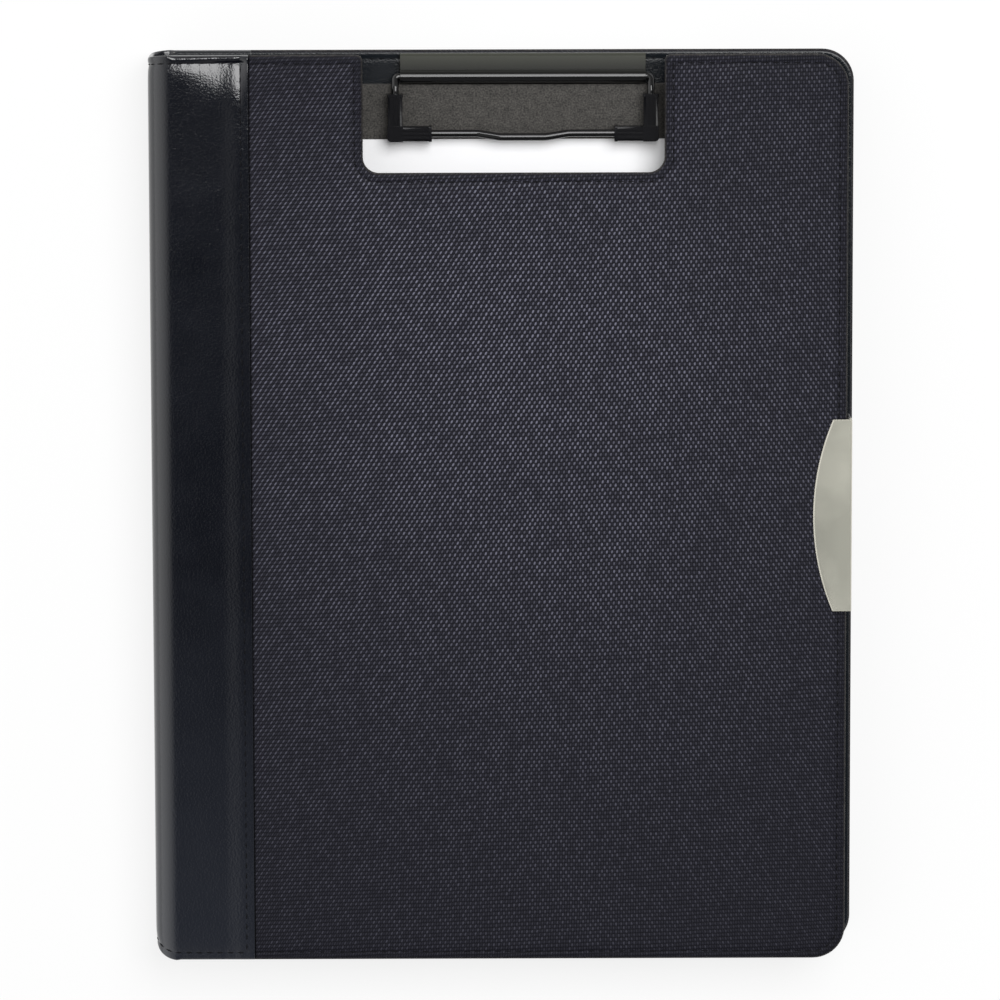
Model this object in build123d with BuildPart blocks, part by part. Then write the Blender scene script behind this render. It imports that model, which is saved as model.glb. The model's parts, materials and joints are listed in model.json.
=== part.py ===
# A clipboard folder, closed and lying on its back cover. +Z comes up through the front cover,
# +Y points to the clip end, the spine is at -X and the origin is the middle of the back face.
# All sizes are in millimetres.
import os
from math import asin, cos, degrees, radians, sin

from build123d import *

os.makedirs("parts", exist_ok=True)

# Covers: boards wrapped in cloth or leather that is turned in as a hem and lined
cover_height = 342.0
spine_room = 31.5
clasp_room = 21.5
folder_thickness = 26.0
front_set_back = 3.0
corner_radius = 12.0
edge_roll = 1.4
skin = 0.7
hem = 0.5
hem_width = 8.0
lining = 0.5
lining_margin = 1.5
back_board_thickness = 2.5
front_board_thickness = 1.8
foam_thickness = 2.0
board_corner_radius = 1.0

# Spine: leather round two bends, with a board in the flat between them
seam_from_spine = 37.5
bend_radius = 8.0
bend_to_board = 1.0
spine_board_thickness = 1.5
hinge_gap = 0.5
hinge_outside = 0.55

# Clip window in the front cover, open at the top edge
window_x = 4.25
window_width = 112.0
window_depth = 44.0
window_radius = 6.0

# Spring plate of the clip: one sheet, folded at the top edge and rolled into a barrel
clip_x = 7.8
clip_width = 91.6
clip_reach = 35.0
clip_from_edge = 1.0
sheet = 1.0
leaf_corner_radius = 4.0
fold_radius = 1.2
roof_angle = 12.0
roof_length = 7.5
curl_angle = 290.0
clip_rivet_spacing = 60.0
clip_rivet_setback = 14.0
clip_rivet_radius = 2.0
clip_rivet_tail = 3.6
clip_rivet_tail_height = 0.8

# Bail: one bent wire with a moulded sleeve at each corner
wire_radius = 1.4
pivot_play = 0.08
trunnion_length = 10.0
arm_to_barrel = 0.4
wire_bend = 1.55
arm_rise = 4.3
rise_bend = 3.2
bail_reach = 21.0
wave_width = 34.0
wave_crest = 17.0
wave_dip = 1.3
wave_lift = 0.6
wave_bend_by_wire = 6.0
sleeve_side = 5.8
sleeve_leg_y = 14.8
sleeve_leg_x = 13.6
sleeve_collar = 1.1
sleeve_relief = 0.2
sleeve_round = 0.5
sleeve_corner = 1.5
rib_height = 0.4
rib_width = 0.7
rib_pitch = 1.5
ribs_per_side = 3
sleeve_play = 0.05

# Writing pad held by the clip
pad_width = 210.0
pad_length = 318.0
pad_card_thickness = 0.8
pad_sheets_thickness = 3.1
pad_header_depth = 20.4
pad_header_thickness = 0.3
pad_to_barrel = 0.5

# Clasp: a metal plate on the front cover's free edge and a magnetic strap that hangs from it
clasp_y = -1.7
clasp_length = 72.4
plate_reach = 14.5
plate_sagitta = 7.3
plate_thickness = 1.0
plate_stand_off = 0.8
plate_bevel = 0.5
plate_round_share = 0.9
plate_rivet_spacing = 44.0
plate_rivet_from_edge = 8.8
plate_rivet_radius = 1.2
plate_rivet_tail = 2.4
plate_rivet_tail_height = 0.5
strap_thickness = 1.6
strap_round_share = 0.49
strap_corner = 5.0
magnet_thickness = 0.8
magnet_height = 7.0
magnet_length = 50.0
magnet_from_foot = 1.2
keeper_width = 5.0
keeper_thickness = 0.8
keeper_from_edge = 0.8

# Pockets inside the front cover and the pen loop on the back one
pocket_thickness = 0.5
pocket_margin = 6.0
pocket_height_spine = 180.0
pocket_height_edge = 140.0
card_pocket_width = 98.0
card_pocket_height = 36.0
card_pocket_gap = 0.6
card_pocket_rise = 22.0
card_pocket_corner = 3.0
pen_loop_bore = 5.0
pen_loop_band = 0.8
pen_loop_width = 24.0
pen_loop_foot = 17.0
pen_loop_to_pad = 5.2
pen_loop_y = 40.0

# Running and laying clearances
run_gap = 0.3
lay_gap = 0.1

# Places that several pieces share
half_height = cover_height / 2
folder_width = spine_room + pad_width + clasp_room
spine_x = -folder_width / 2
back_edge_x = folder_width / 2
front_edge_x = back_edge_x - front_set_back
pad_spine_x = spine_x + spine_room
pad_x = pad_spine_x + pad_width / 2
bend_x = spine_x + bend_radius
board_x = bend_x + bend_to_board
seam_x = spine_x + seam_from_spine

back_hem_z = skin + back_board_thickness
back_lining_z = back_hem_z + hem
back_face_z = back_lining_z + lining
foam_top_z = folder_thickness - skin
foam_z = foam_top_z - foam_thickness
front_board_z = foam_z - front_board_thickness
front_hem_z = front_board_z - hem
front_face_z = front_hem_z - lining


def cover_outline(edge_x, inset, spine_side=bend_x):
    """A cover's flat outline: square at the spine, round at its two free corners."""
    width = edge_x - inset - spine_side
    with BuildSketch() as outline:
        with Locations((spine_side + width / 2, 0)):
            Rectangle(width, cover_height - 2 * inset)
        free_corners = outline.vertices().group_by(Axis.X)[-1]
        fillet(free_corners, max(corner_radius - inset, board_corner_radius))
    return outline.sketch


def front_outline(inset, spine_side=bend_x):
    """The front cover's outline with the clip window, which grows by the inset."""
    with BuildSketch() as outline:
        add(cover_outline(front_edge_x, inset, spine_side))
        with BuildSketch(mode=Mode.SUBTRACT) as window:
            with Locations((window_x, half_height)):
                Rectangle(window_width + 2 * inset, 2 * (window_depth + inset))
            fillet(window.vertices().group_by(Axis.Y)[0], window_radius + inset)
    return outline.sketch


def layer(outline, low, high, roll=0.0, outer_face=-1):
    """One flat layer of a cover; a roll rounds the free edges of its outer face."""
    with BuildPart() as sheet_layer:
        with BuildSketch(Plane.XY.offset(low)):
            add(outline)
        extrude(amount=high - low)
        if roll > 0:
            rim = sheet_layer.faces().sort_by(Axis.Z)[outer_face].edges()
            fillet(rim.sort_by(Axis.X)[1:], roll)
    return sheet_layer.part


def bend(centre_z, start, turn):
    """Leather round part of a spine bend: a ring sector over the whole cover height."""
    with BuildPart() as strip:
        with BuildSketch(Plane.XZ):
            with BuildLine():
                outer = CenterArc((bend_x, centre_z), bend_radius, start, turn)
                inner = CenterArc((bend_x, centre_z), bend_radius - skin, start, turn)
                Line(outer @ 0, inner @ 0)
                Line(outer @ 1, inner @ 1)
            make_face()
        extrude(amount=half_height, both=True)
    return strip.part


def rivet(low, high, shank, tail, tail_height):
    """A rivet along Z: a flat tail at the bottom and a shank peened flush at the top."""
    with BuildPart() as body:
        with BuildSketch(Plane.XZ):
            with BuildLine():
                Polyline(
                    (0, low),
                    (tail, low),
                    (tail, low + tail_height),
                    (shank, low + tail_height),
                    (shank, high),
                    (0, high),
                    close=True,
                )
            make_face()
        revolve(axis=Axis.Z)
    return body.part


def finish(builder, name):
    """Label a finished piece and write it as its own file."""
    builder.part.label = name
    export_step(builder.part, f"parts/{name}.step")


# Hinges of the spine: each bend is split half way round, and the leather folds about a line
# just outside the split.
split_angle = 45.0
half_split = degrees(asin(hinge_gap / 2 / bend_radius))
quarter_bend = split_angle - half_split
hinge_offset = (bend_radius + hinge_outside) * cos(radians(split_angle))
hinge_x = bend_x - hinge_offset
back_hinge_z = bend_radius - hinge_offset
front_hinge_z = folder_thickness - back_hinge_z

# Rivets of the clip and of the clasp plate, whose holes run through the layers under them
clip_edge_y = half_height - clip_from_edge
clip_front_y = clip_edge_y - clip_reach
clip_rivet_y = clip_front_y + clip_rivet_setback
clip_rivet_spots = [
    (clip_x + side * clip_rivet_spacing / 2, clip_rivet_y) for side in (-1, 1)
]
leaf_top_z = back_face_z + sheet
plate_rivet_x = front_edge_x - plate_rivet_from_edge + plate_stand_off
plate_rivet_spots = [
    (plate_rivet_x, clasp_y + side * plate_rivet_spacing / 2) for side in (-1, 1)
]


def drill(spots, radius, low, high):
    """Round holes from one level up to another, cut from the part being built."""
    with BuildSketch(Plane.XY.offset(low)) as holes:
        with Locations(*spots):
            Circle(radius)
    extrude(holes.sketch, amount=high - low, mode=Mode.SUBTRACT)


# Back cover: cloth and leather wrapped round a board and turned in
with BuildPart() as back_wrap:
    add(layer(cover_outline(back_edge_x, 0), 0, back_lining_z, edge_roll, 0))
    add(layer(cover_outline(back_edge_x, skin), skin, back_hem_z), mode=Mode.SUBTRACT)
    hem_opening = cover_outline(back_edge_x, skin + hem_width)
    add(layer(hem_opening, back_hem_z, back_lining_z), mode=Mode.SUBTRACT)

with BuildPart() as back_nylon_skin:
    add(back_wrap.part)
    split(bisect_by=Plane.YZ.offset(seam_x), keep=Keep.TOP)
finish(back_nylon_skin, "back_nylon_skin")

with BuildPart() as back_leather_band:
    add(back_wrap.part)
    split(bisect_by=Plane.YZ.offset(seam_x), keep=Keep.BOTTOM)
    add(bend(bend_radius, 270, -quarter_bend))
finish(back_leather_band, "back_leather_band")

# The keeper is let into the board under the strap's foot
keeper_x = back_edge_x - skin - keeper_from_edge - keeper_width / 2
keeper_z = back_hem_z - keeper_thickness

with BuildPart() as back_board:
    add(layer(cover_outline(back_edge_x, skin, board_x), skin, back_hem_z))
    drill(clip_rivet_spots, clip_rivet_radius + lay_gap, skin, back_hem_z)
    drill(clip_rivet_spots, clip_rivet_tail + lay_gap, skin, skin + clip_rivet_tail_height + lay_gap)
    with BuildSketch(Plane.XY.offset(keeper_z)):
        with Locations((keeper_x, clasp_y)):
            Rectangle(keeper_width, magnet_length)
    extrude(amount=keeper_thickness, mode=Mode.SUBTRACT)
finish(back_board, "back_board")

with BuildPart() as clasp_keeper:
    with BuildSketch(Plane.XY.offset(keeper_z)):
        with Locations((keeper_x, clasp_y)):
            Rectangle(keeper_width, magnet_length)
    extrude(amount=keeper_thickness)
finish(clasp_keeper, "clasp_keeper")

with BuildPart() as back_lining:
    hem_inner = skin + hem_width + lay_gap
    add(layer(cover_outline(back_edge_x, hem_inner, board_x), back_hem_z, back_lining_z))
    add(layer(cover_outline(back_edge_x, lining_margin, board_x), back_lining_z, back_face_z))
    drill(clip_rivet_spots, clip_rivet_radius + lay_gap, back_hem_z, back_face_z)
finish(back_lining, "back_lining")

# Spring plate: under leaf, fold, sloping roof and a barrel rolled towards the outside
leaf_mid_z = back_face_z + sheet / 2
fold_y = clip_edge_y - fold_radius - sheet / 2
curl_radius = wire_radius + pivot_play + sheet / 2
slope = radians(roof_angle)
roof_start_y = fold_y + fold_radius * sin(slope)
roof_start_z = leaf_mid_z + fold_radius + fold_radius * cos(slope)
roof_end_y = roof_start_y - roof_length * cos(slope)
roof_end_z = roof_start_z + roof_length * sin(slope)
pivot_y = roof_end_y + curl_radius * sin(slope)
pivot_z = roof_end_z + curl_radius * cos(slope)

with BuildPart() as clip_spring_plate:
    with BuildSketch(Plane.YZ.offset(clip_x)):
        with BuildLine():
            Line((clip_front_y, leaf_mid_z), (fold_y, leaf_mid_z))
            CenterArc((fold_y, leaf_mid_z + fold_radius), fold_radius, 270, 180 - roof_angle)
            Line((roof_start_y, roof_start_z), (roof_end_y, roof_end_z))
            CenterArc((pivot_y, pivot_z), curl_radius, 270 - roof_angle, -curl_angle)
        trace(line_width=sheet)
    extrude(amount=clip_width / 2, both=True)
    leaf_corners = clip_spring_plate.edges().filter_by(Axis.Z).group_by(Axis.Y)[0]
    fillet(leaf_corners, leaf_corner_radius)
    drill(clip_rivet_spots, clip_rivet_radius + lay_gap, back_face_z, leaf_top_z)
finish(clip_spring_plate, "clip_spring_plate")

with BuildPart() as clip_rivets:
    clip_rivet = rivet(
        skin, leaf_top_z, clip_rivet_radius, clip_rivet_tail, clip_rivet_tail_height
    )
    with Locations(*clip_rivet_spots):
        add(clip_rivet)
finish(clip_rivets, "clip_rivets")

# Pen loop: an elastic band round the pen, sewn down by a flat foot
pen_loop_x = pad_spine_x - pen_loop_to_pad - pen_loop_band - pen_loop_bore
pen_loop_z = back_face_z + pen_loop_band + pen_loop_bore

with BuildPart() as pen_loop:
    with BuildSketch(Plane.XZ.offset(-pen_loop_y)):
        with Locations((pen_loop_x, pen_loop_z)):
            Circle(pen_loop_bore + pen_loop_band)
        with Locations((pen_loop_x, back_face_z + pen_loop_band / 2)):
            Rectangle(pen_loop_foot, pen_loop_band)
        with Locations((pen_loop_x, pen_loop_z)):
            Circle(pen_loop_bore, mode=Mode.SUBTRACT)
    extrude(amount=pen_loop_width / 2, both=True)
finish(pen_loop, "pen_loop")

# Spine between the two hinges
spine_top_z = folder_thickness - bend_radius
spine_flat = spine_top_z - bend_radius
spine_mid_z = folder_thickness / 2

with BuildPart() as spine_leather:
    with Locations((spine_x + skin / 2, 0, spine_mid_z)):
        Box(skin, cover_height, spine_flat)
    add(bend(bend_radius, 180, quarter_bend))
    add(bend(spine_top_z, 180, -quarter_bend))
finish(spine_leather, "spine_leather")

spine_board_x = spine_x + skin

with BuildPart() as spine_board:
    with Locations((spine_board_x + spine_board_thickness / 2, 0, spine_mid_z)):
        Box(spine_board_thickness, cover_height - 2 * skin, spine_flat)
finish(spine_board, "spine_board")

with BuildPart() as spine_lining:
    with Locations((spine_board_x + spine_board_thickness + lining / 2, 0, spine_mid_z)):
        Box(lining, cover_height - 2 * lining_margin, spine_flat)
finish(spine_lining, "spine_lining")

# Front cover: the same wrap over a board and a thin foam, with the clip window
with BuildPart() as front_wrap:
    add(layer(front_outline(0), front_hem_z, folder_thickness, edge_roll))
    add(layer(front_outline(skin), front_board_z, foam_top_z), mode=Mode.SUBTRACT)
    add(layer(front_outline(skin + hem_width), front_hem_z, front_board_z), mode=Mode.SUBTRACT)

with BuildPart() as front_nylon_skin:
    add(front_wrap.part)
    split(bisect_by=Plane.YZ.offset(seam_x), keep=Keep.TOP)
    drill(plate_rivet_spots, plate_rivet_radius + lay_gap, foam_top_z, folder_thickness)
finish(front_nylon_skin, "front_nylon_skin")

with BuildPart() as front_leather_band:
    add(front_wrap.part)
    split(bisect_by=Plane.YZ.offset(seam_x), keep=Keep.BOTTOM)
    add(bend(spine_top_z, 90, quarter_bend))
finish(front_leather_band, "front_leather_band")

with BuildPart() as front_foam:
    add(layer(front_outline(skin, board_x), foam_z, foam_top_z))
    drill(plate_rivet_spots, plate_rivet_radius + lay_gap, foam_z, foam_top_z)
finish(front_foam, "front_foam")

with BuildPart() as front_board:
    add(layer(front_outline(skin, board_x), front_board_z, foam_z))
    drill(plate_rivet_spots, plate_rivet_radius + lay_gap, front_board_z, foam_z)
    tail_room = plate_rivet_tail_height + lay_gap
    drill(plate_rivet_spots, plate_rivet_tail + lay_gap, front_board_z, front_board_z + tail_room)
finish(front_board, "front_board")

with BuildPart() as front_lining:
    hem_inner = skin + hem_width + lay_gap
    add(layer(front_outline(hem_inner, board_x), front_hem_z, front_board_z))
    add(layer(front_outline(lining_margin, board_x), front_face_z, front_hem_z))
finish(front_lining, "front_lining")

# Pockets lie flat on the lining: a large one with a slanted mouth, and two for cards
pocket_z = front_face_z - pocket_thickness
pocket_left = board_x + pocket_margin
pocket_right = front_edge_x - pocket_margin
pocket_bottom = pocket_margin - half_height

with BuildPart() as document_pocket:
    with BuildSketch(Plane.XY.offset(pocket_z)):
        with BuildLine():
            Polyline(
                (pocket_left, pocket_bottom),
                (pocket_right, pocket_bottom),
                (pocket_right, pocket_bottom + pocket_height_edge),
                (pocket_left, pocket_bottom + pocket_height_spine),
                close=True,
            )
        make_face()
    extrude(amount=pocket_thickness)
finish(document_pocket, "document_pocket")

card_pocket_x = pocket_right - card_pocket_width / 2
card_pocket_y = pocket_bottom + pocket_height_edge + card_pocket_rise + card_pocket_height / 2
card_pocket_step = card_pocket_height + card_pocket_gap

for tier, card_pocket_name in enumerate(("card_pocket_lower", "card_pocket_upper")):
    with BuildPart() as card_pocket:
        with BuildSketch(Plane.XY.offset(pocket_z)) as card_pocket_sketch:
            with Locations((card_pocket_x, card_pocket_y + tier * card_pocket_step)):
                Rectangle(card_pocket_width, card_pocket_height)
            fillet(card_pocket_sketch.vertices(), card_pocket_corner)
        extrude(amount=pocket_thickness)
    finish(card_pocket, card_pocket_name)

# Writing pad: card, sheets and a header strip folded over the top end
pad_top_y = pivot_y - curl_radius - sheet / 2 - pad_to_barrel
pad_z = leaf_top_z + run_gap
pad_card_z = pad_z + pad_header_thickness
pad_sheets_z = pad_card_z + pad_card_thickness
pad_header_z = pad_sheets_z + pad_sheets_thickness
pad_top_z = pad_header_z + pad_header_thickness
pad_inner_y = pad_top_y - pad_header_thickness
pad_mid_y = pad_inner_y - pad_length / 2

with BuildPart() as pad_back_card:
    with BuildSketch(Plane.XY.offset(pad_card_z)):
        with Locations((pad_x, pad_mid_y)):
            Rectangle(pad_width, pad_length)
    extrude(amount=pad_card_thickness)
finish(pad_back_card, "pad_back_card")

with BuildPart() as pad_sheets:
    with BuildSketch(Plane.XY.offset(pad_sheets_z)):
        with Locations((pad_x, pad_mid_y)):
            Rectangle(pad_width, pad_length)
    extrude(amount=pad_sheets_thickness)
finish(pad_sheets, "pad_sheets")

with BuildPart() as pad_header:
    with BuildSketch(Plane.YZ.offset(pad_x)):
        with BuildLine():
            Polyline(
                (pad_top_y - pad_header_depth, pad_z),
                (pad_top_y, pad_z),
                (pad_top_y, pad_top_z),
                (pad_top_y - pad_header_depth, pad_top_z),
                (pad_top_y - pad_header_depth, pad_header_z),
                (pad_inner_y, pad_header_z),
                (pad_inner_y, pad_card_z),
                (pad_top_y - pad_header_depth, pad_card_z),
                close=True,
            )
        make_face()
    extrude(amount=pad_width / 2, both=True)
finish(pad_header, "pad_header")

# Bail: the wire turns out of the barrel, rises over the pad and runs across it with a wave
# for the finger in the middle.
arm_offset = clip_width / 2 + arm_to_barrel + wire_radius
bail_z = pad_top_z + run_gap + sleeve_side / 2
bail_run_y = pivot_y - bail_reach
trunnion_x = clip_width / 2 - trunnion_length


def half_route(side):
    """Corner points of one half of the bail, from the trunnion's end to the wave's crest."""
    arm_x = clip_x + side * arm_offset
    return [
        (clip_x + side * trunnion_x, pivot_y, pivot_z),
        (arm_x, pivot_y, pivot_z),
        (arm_x, pivot_y - arm_rise, bail_z),
        (arm_x, bail_run_y, bail_z),
        (clip_x + side * wave_width / 2, bail_run_y, bail_z),
        (clip_x + side * wave_crest / 2, bail_run_y - wave_dip, bail_z + wave_lift),
    ]


with BuildPart() as bail_wire:
    wave_bend = wave_bend_by_wire * wire_radius
    half_bends = [wire_bend, rise_bend, wire_bend, wave_bend, wave_bend]
    with BuildLine():
        route = FilletPolyline(
            *half_route(-1), *reversed(half_route(1)), radius=half_bends + half_bends[::-1]
        )
    with BuildSketch(Plane(route @ 0, z_dir=route % 0)):
        Circle(wire_radius)
    sweep()
finish(bail_wire, "bail_wire")

rib_side = sleeve_side - 2 * sleeve_relief
core_side = rib_side - 2 * rib_height


def ribbed_leg(plane, length):
    """A sleeve's leg: a square core with ribs along it and a plain collar at its far end."""
    with BuildPart() as leg:
        with BuildSketch(plane):
            Rectangle(core_side, core_side)
            with GridLocations(rib_pitch, 0, ribs_per_side, 1):
                Rectangle(rib_width, rib_side)
            with GridLocations(0, rib_pitch, 1, ribs_per_side):
                Rectangle(rib_side, rib_width)
        extrude(amount=length)
        with BuildSketch(plane.offset(length - sleeve_collar)):
            RectangleRounded(sleeve_side, sleeve_side, sleeve_round)
        extrude(amount=sleeve_collar)
    return leg.part


sleeve_bore = wire_radius + sleeve_play

for side, sleeve_name in ((-1, "bail_sleeve_left"), (1, "bail_sleeve_right")):
    corner = (clip_x + side * arm_offset, bail_run_y, bail_z)
    with BuildPart() as bail_sleeve:
        with Locations(corner):
            Box(sleeve_side, sleeve_side, sleeve_side)
        outer_edge = bail_sleeve.edges().filter_by(Axis.Z).group_by(Axis.Y)[0]
        fillet(outer_edge.sort_by(Axis.X)[0 if side < 0 else -1], sleeve_corner)
        legs = (
            (Plane(corner, x_dir=(1, 0, 0), z_dir=(0, 1, 0)), sleeve_leg_y),
            (Plane(corner, x_dir=(0, 1, 0), z_dir=(-side, 0, 0)), sleeve_leg_x),
        )
        for plane, length in legs:
            add(ribbed_leg(plane, length))
        for plane, length in legs:
            with BuildSketch(plane):
                Circle(sleeve_bore)
            extrude(amount=length, mode=Mode.SUBTRACT)
        with Locations(corner):
            Box(2 * sleeve_bore, 2 * sleeve_bore, 2 * sleeve_bore, mode=Mode.SUBTRACT)
    finish(bail_sleeve, sleeve_name)

# Clasp plate: a D-shaped leaf on the cover, folded down over the free edge
plate_edge_x = front_edge_x + plate_stand_off + plate_thickness
plate_top_z = folder_thickness + plate_thickness
strap_top_z = front_face_z + run_gap
plate_foot_z = strap_top_z + run_gap
clasp_half = clasp_length / 2

with BuildPart() as clasp_plate:
    with BuildSketch(Plane.XY.offset(folder_thickness)):
        with BuildLine():
            horn_x = plate_edge_x - plate_reach + plate_sagitta
            arch = ThreePointArc(
                (horn_x, clasp_y + clasp_half),
                (horn_x - plate_sagitta, clasp_y),
                (horn_x, clasp_y - clasp_half),
            )
            Polyline(
                arch @ 1,
                (plate_edge_x, clasp_y - clasp_half),
                (plate_edge_x, clasp_y + clasp_half),
                arch @ 0,
            )
        make_face()
    extrude(amount=plate_thickness)
    with BuildSketch(Plane.XY.offset(plate_foot_z)):
        with Locations((plate_edge_x - plate_thickness / 2, clasp_y)):
            Rectangle(plate_thickness, clasp_length)
    extrude(amount=plate_top_z - plate_foot_z)
    top_rim = clasp_plate.faces().sort_by(Axis.Z)[-1].edges()
    fillet(top_rim.sort_by(Axis.X)[-1], plate_thickness * plate_round_share)
    top_rim = clasp_plate.faces().sort_by(Axis.Z)[-1].edges()
    chamfer(top_rim.filter_by(GeomType.CIRCLE), plate_bevel)
finish(clasp_plate, "clasp_plate")

with BuildPart() as clasp_rivets:
    plate_rivet = rivet(
        front_board_z,
        folder_thickness,
        plate_rivet_radius,
        plate_rivet_tail,
        plate_rivet_tail_height,
    )
    with Locations(*plate_rivet_spots):
        add(plate_rivet)
finish(clasp_rivets, "clasp_rivets")

with BuildPart() as clasp_strap_root:
    with BuildSketch(Plane.XY.offset(plate_foot_z)):
        with Locations((front_edge_x + plate_stand_off / 2, clasp_y)):
            Rectangle(plate_stand_off, clasp_length)
    extrude(amount=folder_thickness - plate_foot_z)
finish(clasp_strap_root, "clasp_strap_root")

# Strap: two layers of leather round a magnet, hinged at the plate's foot and hanging down to
# the keeper
strap_x = plate_edge_x - (plate_thickness + plate_stand_off) / 2
strap_pivot_z = strap_top_z - strap_thickness / 2
strap_foot_z = back_face_z + run_gap
magnet_z = strap_foot_z + magnet_from_foot + magnet_height / 2

with BuildPart() as clasp_strap:
    with BuildSketch(Plane.YZ.offset(strap_x)) as strap_face:
        with Locations((clasp_y, (strap_top_z + strap_foot_z) / 2)):
            Rectangle(clasp_length, strap_top_z - strap_foot_z)
        fillet(strap_face.vertices().group_by(Axis.Y)[0], strap_corner)
    extrude(amount=strap_thickness / 2, both=True)
    fold_edges = clasp_strap.edges().filter_by(Axis.Y).group_by(Axis.Z)[-1]
    fillet(fold_edges, strap_thickness * strap_round_share)
    with Locations((strap_x, clasp_y, magnet_z)):
        Box(magnet_thickness, magnet_length, magnet_height, mode=Mode.SUBTRACT)
finish(clasp_strap, "clasp_strap")

with BuildPart() as clasp_magnet:
    with Locations((strap_x, clasp_y, magnet_z)):
        Box(magnet_thickness, magnet_length, magnet_height)
finish(clasp_magnet, "clasp_magnet")

print(f"spine hinges x {hinge_x:.4f}, back z {back_hinge_z:.4f}, front z {front_hinge_z:.4f}")
print(f"bail pivot y {pivot_y:.4f}, z {pivot_z:.4f}, run y {bail_run_y:.3f}, level {bail_z:.3f}")
print(f"strap pivot x {strap_x:.3f}, z {strap_pivot_z:.3f}")
print(f"pad top y {pad_top_y:.3f}, top z {pad_top_z:.3f}, back face z {back_face_z:.3f}")
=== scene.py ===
import json
from math import cos, pi, radians, sin

import bmesh
import bpy
import numpy as np
from mathutils import Matrix, Vector


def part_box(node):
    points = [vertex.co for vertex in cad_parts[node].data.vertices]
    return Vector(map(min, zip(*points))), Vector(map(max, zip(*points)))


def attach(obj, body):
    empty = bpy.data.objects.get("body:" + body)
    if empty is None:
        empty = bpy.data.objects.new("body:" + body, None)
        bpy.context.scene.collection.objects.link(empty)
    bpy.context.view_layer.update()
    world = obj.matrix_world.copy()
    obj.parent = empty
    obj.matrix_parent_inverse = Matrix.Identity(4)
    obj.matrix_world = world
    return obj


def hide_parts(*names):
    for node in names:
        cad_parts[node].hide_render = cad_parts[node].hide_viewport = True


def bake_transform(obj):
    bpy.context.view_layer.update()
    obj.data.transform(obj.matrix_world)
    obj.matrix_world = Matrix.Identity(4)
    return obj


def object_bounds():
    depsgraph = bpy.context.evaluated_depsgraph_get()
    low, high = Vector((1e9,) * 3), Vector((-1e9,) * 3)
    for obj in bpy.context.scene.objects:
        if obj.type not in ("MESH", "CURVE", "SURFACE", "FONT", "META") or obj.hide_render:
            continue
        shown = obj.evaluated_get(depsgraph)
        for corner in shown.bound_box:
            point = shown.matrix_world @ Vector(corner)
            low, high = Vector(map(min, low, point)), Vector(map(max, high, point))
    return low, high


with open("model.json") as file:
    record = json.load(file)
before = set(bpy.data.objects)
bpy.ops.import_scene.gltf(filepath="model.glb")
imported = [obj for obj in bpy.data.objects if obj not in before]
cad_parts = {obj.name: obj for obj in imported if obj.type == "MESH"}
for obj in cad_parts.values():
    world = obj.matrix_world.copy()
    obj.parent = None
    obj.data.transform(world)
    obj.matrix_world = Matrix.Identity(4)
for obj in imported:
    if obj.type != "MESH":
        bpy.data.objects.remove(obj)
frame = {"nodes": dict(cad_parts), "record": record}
cad_low, cad_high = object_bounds()
mm = 0.001

# The camera stands over the folder, a little towards the clip end and far enough away for its
# sides to look parallel.
camera_place = (-0.00991, 0.38610, 2.54101)
camera_yaw = 0.0034799
camera_pitch = 0.1505839
camera_roll = 0.0023364
focal_in_image_sides = 6.81119
sensor_width = 36.0


def shown(name, data):
    """A new object of the scene, from its data."""
    made = bpy.data.objects.new(name, data)
    bpy.context.scene.collection.objects.link(made)
    return made


camera_data = bpy.data.cameras.new("camera")
camera_data.sensor_width = sensor_width
camera_data.lens = focal_in_image_sides * sensor_width
camera_data.clip_end = 20.0
camera = shown("camera", camera_data)
bpy.context.scene.camera = camera
into_camera = (
    Matrix.Rotation(camera_roll, 3, "Z")
    @ Matrix.Rotation(camera_pitch, 3, "X")
    @ Matrix.Rotation(camera_yaw, 3, "Y")
)
camera.matrix_world = Matrix.Translation(camera_place) @ into_camera.transposed().to_4x4()
bpy.context.scene.view_settings.view_transform = "Standard"


# The floor is a plain white sheet. What the camera and the glossy pieces see of it is mostly
# its own white, so the background is pale and only a soft shadow shows.
def math_node(operation, swapped=False):
    """A method of a wire that adds one Math node."""

    def method(self, *others):
        values = (*others, self) if swapped else (self, *others)
        return self.paint.node("Math", {"operation": operation}, dict(enumerate(values)))

    return method


class Wire:
    """A socket of a material whose arithmetic adds the Math nodes that it needs."""

    __add__ = __radd__ = math_node("ADD")
    __sub__ = math_node("SUBTRACT")
    __rsub__ = math_node("SUBTRACT", swapped=True)
    __mul__ = __rmul__ = math_node("MULTIPLY")
    __truediv__ = math_node("DIVIDE")
    __pow__ = math_node("POWER")
    sine = math_node("SINE")
    floor = math_node("FLOOR")
    fraction = math_node("FRACT")
    at_least = math_node("MAXIMUM")
    at_most = math_node("MINIMUM")

    def __init__(self, paint, socket):
        self.paint = paint
        self.socket = socket

    def clipped(self):
        """The value kept between 0 and 1."""
        return self.at_least(0.0).at_most(1.0)


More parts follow.
